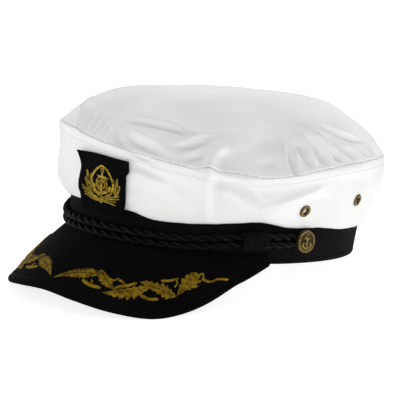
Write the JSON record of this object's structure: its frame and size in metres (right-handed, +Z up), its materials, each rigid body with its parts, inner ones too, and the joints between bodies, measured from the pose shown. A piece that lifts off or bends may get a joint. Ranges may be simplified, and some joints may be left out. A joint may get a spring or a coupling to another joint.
{
  "type": "captain hat",
  "caption": "Soft white-topped captain hat with a black band, curved black peak with gold leaf embroidery, twisted band cords, side buttons and an anchor badge.",
  "frame": {"origin": "on the surface that the hat rests on, under the middle of its box", "axes": "+Z up, the peak towards -Y and the wearer's left towards +X; the hat rests tipped back on its peak and the back of its band"},
  "size_m": [0.202, 0.2768, 0.1217],
  "materials": {
    "white_cotton": "matte white cotton twill, soft and lightly creased",
    "band_twill": "matte black twill",
    "peak_felt": "matte black felt over a stiff board, edge stitched",
    "patch_felt": "matte black felt",
    "cord_braid": "black twisted rayon cord with a soft sheen",
    "gold_thread": "mustard gold satin-stitch thread with a sheen",
    "aged_brass": "antique brass, darkened in its hollows"
  },
  "bodies": {
    "root": {"band": "band_twill", "crown_side": "white_cotton", "crown_top": "white_cotton", "peak": "peak_felt", "cord_upper": "cord_braid", "cord_lower": "cord_braid", "keeper_left": "cord_braid", "keeper_right": "cord_braid", "button_left": "aged_brass", "button_right": "aged_brass", "leaf_spray_left": "gold_thread", "leaf_spray_right": "gold_thread", "badge_patch": "patch_felt", "badge_emblem": "gold_thread", "eyelet_left_front": "aged_brass", "eyelet_left_rear": "aged_brass", "eyelet_right_front": "aged_brass", "eyelet_right_rear": "aged_brass"}
  },
  "joints": []
}
